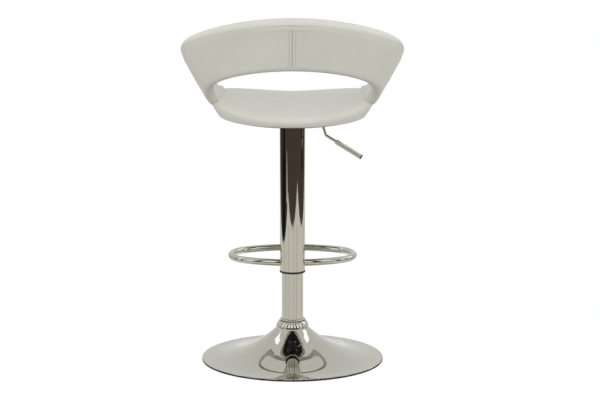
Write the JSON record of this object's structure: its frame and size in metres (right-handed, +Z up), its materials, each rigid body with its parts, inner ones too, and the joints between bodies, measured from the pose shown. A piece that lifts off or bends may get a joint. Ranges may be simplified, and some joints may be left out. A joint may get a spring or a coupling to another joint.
{
  "type": "adjustable swivel stool",
  "caption": "Gas-lift swivel stool with a padded seat, an open wrap-round back, a footrest ring and a chromed trumpet foot.",
  "frame": {"origin": "on the floor under the axis of the column", "axes": "+Z up along the column, +Y towards the sitter's front, +X towards the sitter's right, where the lever is"},
  "size_m": [0.514, 0.4386, 0.8392],
  "materials": {
    "chrome": "mirror-polished chrome plate",
    "polished_steel": "ground and polished",
    "plain_steel": "zinc-plated",
    "black_paint": "black powder coat",
    "cast_weight": "raw casting",
    "black_rubber": "matt",
    "black_plastic": "fine matt",
    "plywood": "raw plywood",
    "leatherette": "warm white leatherette over foam"
  },
  "bodies": {
    "base": {"base_shell": "chrome", "base_collar": "chrome", "collar_seal": "black_rubber", "collar_lip": "chrome", "base_socket": "plain_steel", "base_weight": "cast_weight", "bottom_plate": "black_paint", "floor_ring": "black_rubber", "weight_screws": "plain_steel", "column_tube": "chrome", "column_floor": "plain_steel", "lower_race": "polished_steel", "bearing_balls": "polished_steel", "bearing_cage": "black_plastic", "guide_bush": "black_plastic"},
    "rod": {"piston_rod": "polished_steel", "piston_head": "plain_steel", "upper_race": "polished_steel", "rod_clip": "plain_steel", "stop_buffer": "black_rubber"},
    "seat": {"gas_cylinder": "black_paint", "rod_guide": "plain_steel", "valve_body": "plain_steel", "cover_sleeve": "chrome", "sleeve_bush": "black_plastic", "sleeve_cap": "black_plastic", "footrest_ring": "chrome", "taper_socket": "black_paint", "mechanism_housing": "black_paint", "lever_pin": "plain_steel", "mounting_plate": "black_paint", "plate_bolts": "plain_steel", "plate_washers": "plain_steel", "board_nuts": "plain_steel", "seat_board": "plywood", "under_cover": "black_plastic", "seat_cushion": "leatherette", "bracket_left": "black_paint", "bracket_right": "black_paint", "bracket_screws": "plain_steel", "back_panel": "plywood", "back_cushion": "leatherette"},
    "lever": {"lever_rod": "chrome", "lever_grip": "chrome", "lever_grip_cap": "black_plastic"},
    "valve": {"valve_pin": "polished_steel"}
  },
  "joints": [
    {"name": "swivel", "type": "hinge", "parent": "base", "child": "rod", "pos_m": [0, 0, 0.02], "axis": [0, 0, 1], "continuous": true},
    {"name": "lift", "type": "slide", "parent": "rod", "child": "seat", "axis": [0, 0, 1], "range_m": [0, 0.21]},
    {"name": "lever_pull", "type": "hinge", "parent": "seat", "child": "lever", "pos_m": [0.032, 0, 0.5655], "axis": [0, -1, 0], "range_deg": [0, 6], "stiffness_Nm_per_rad": 3},
    {"name": "valve_push", "type": "slide", "parent": "seat", "child": "valve", "axis": [0, 0, -1], "range_m": [0, 0.0036], "stiffness_N_per_m": 400}
  ],
  "couplings": [
    {"joint": "valve_push", "follows": "lever_pull", "m_per_rad": 0.032}
  ]
}
